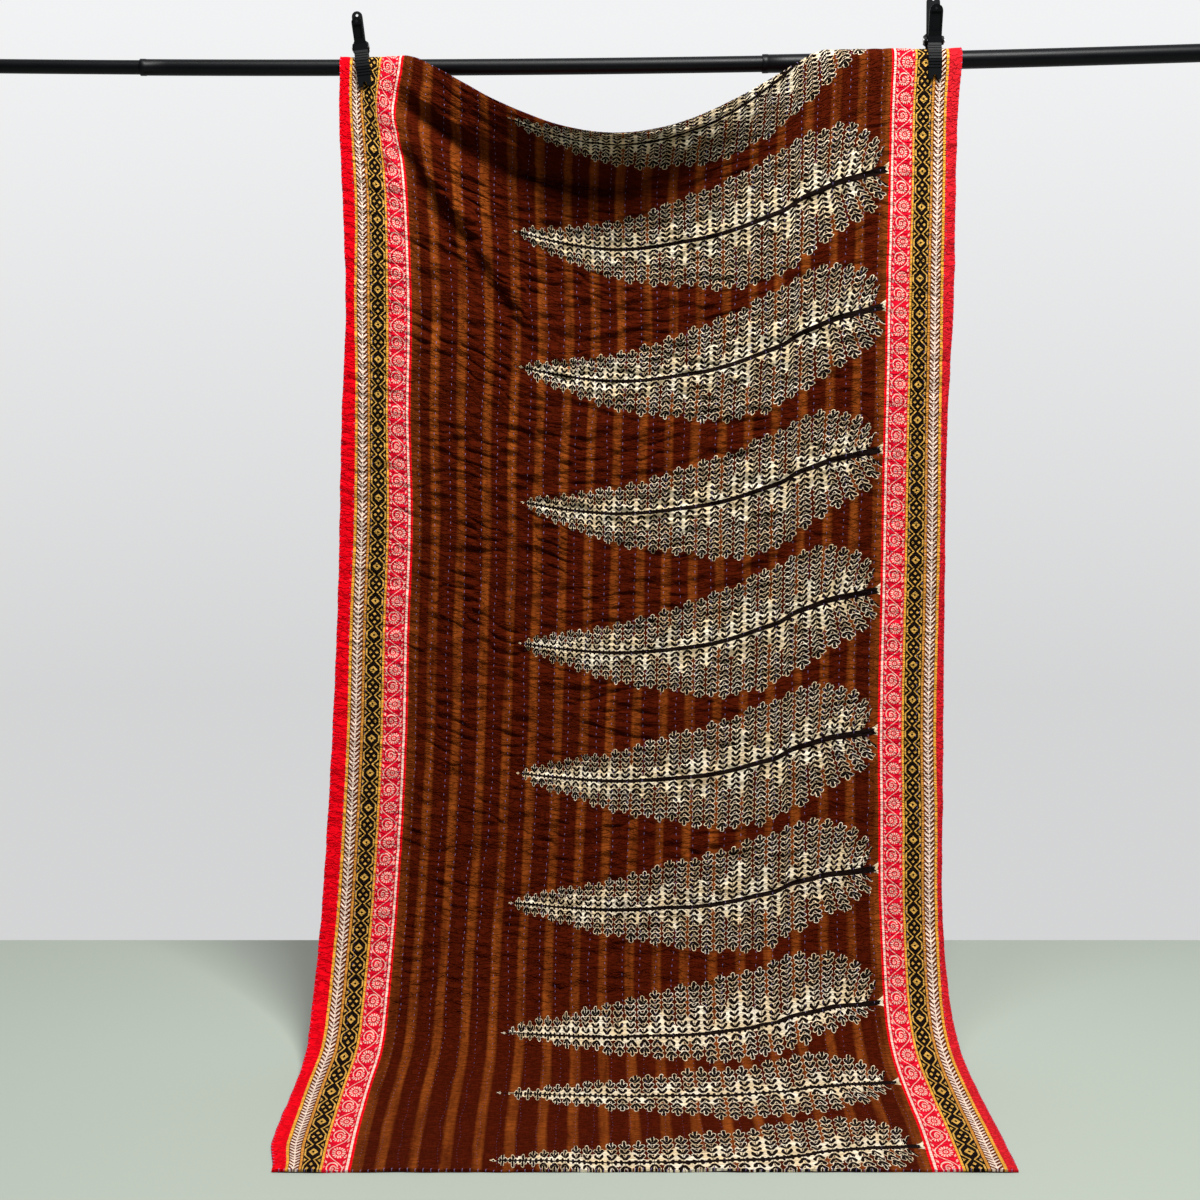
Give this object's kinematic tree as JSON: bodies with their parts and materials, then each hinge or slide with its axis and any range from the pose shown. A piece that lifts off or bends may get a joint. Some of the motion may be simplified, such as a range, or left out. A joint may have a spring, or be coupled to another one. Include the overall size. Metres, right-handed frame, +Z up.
{
  "type": "kantha quilt hung over a telescopic crossbar with spring clamps",
  "caption": "Hand-stitched kantha quilt with a leaf print and patterned side borders, folded over a plain telescopic crossbar, gripped by spring clamps, its lower end on the floor.",
  "frame": {"origin": "on the crossbar's axis, halfway along the crossbar", "axes": "+X along the crossbar towards its thick end, -Y towards the side that the quilt's printed face looks to, +Z up"},
  "size_m": [2.4, 0.849, 1.8241],
  "materials": {
    "quilt_cloth": "printed cotton, matte, puckered by running stitch",
    "crossbar_black": "satin black paint",
    "clamp_nylon": "moulded black nylon",
    "clamp_steel": "plain steel"
  },
  "bodies": {
    "root": {"quilt": "quilt_cloth", "crossbar_thin": "crossbar_black", "crossbar_middle": "crossbar_black", "crossbar_thick": "crossbar_black", "clamp_left_front": "clamp_nylon", "clamp_left_back": "clamp_nylon", "clamp_left_pin": "clamp_steel", "clamp_left_spring": "clamp_steel", "clamp_right_front": "clamp_nylon", "clamp_right_back": "clamp_nylon", "clamp_right_pin": "clamp_steel", "clamp_right_spring": "clamp_steel"}
  },
  "joints": []
}
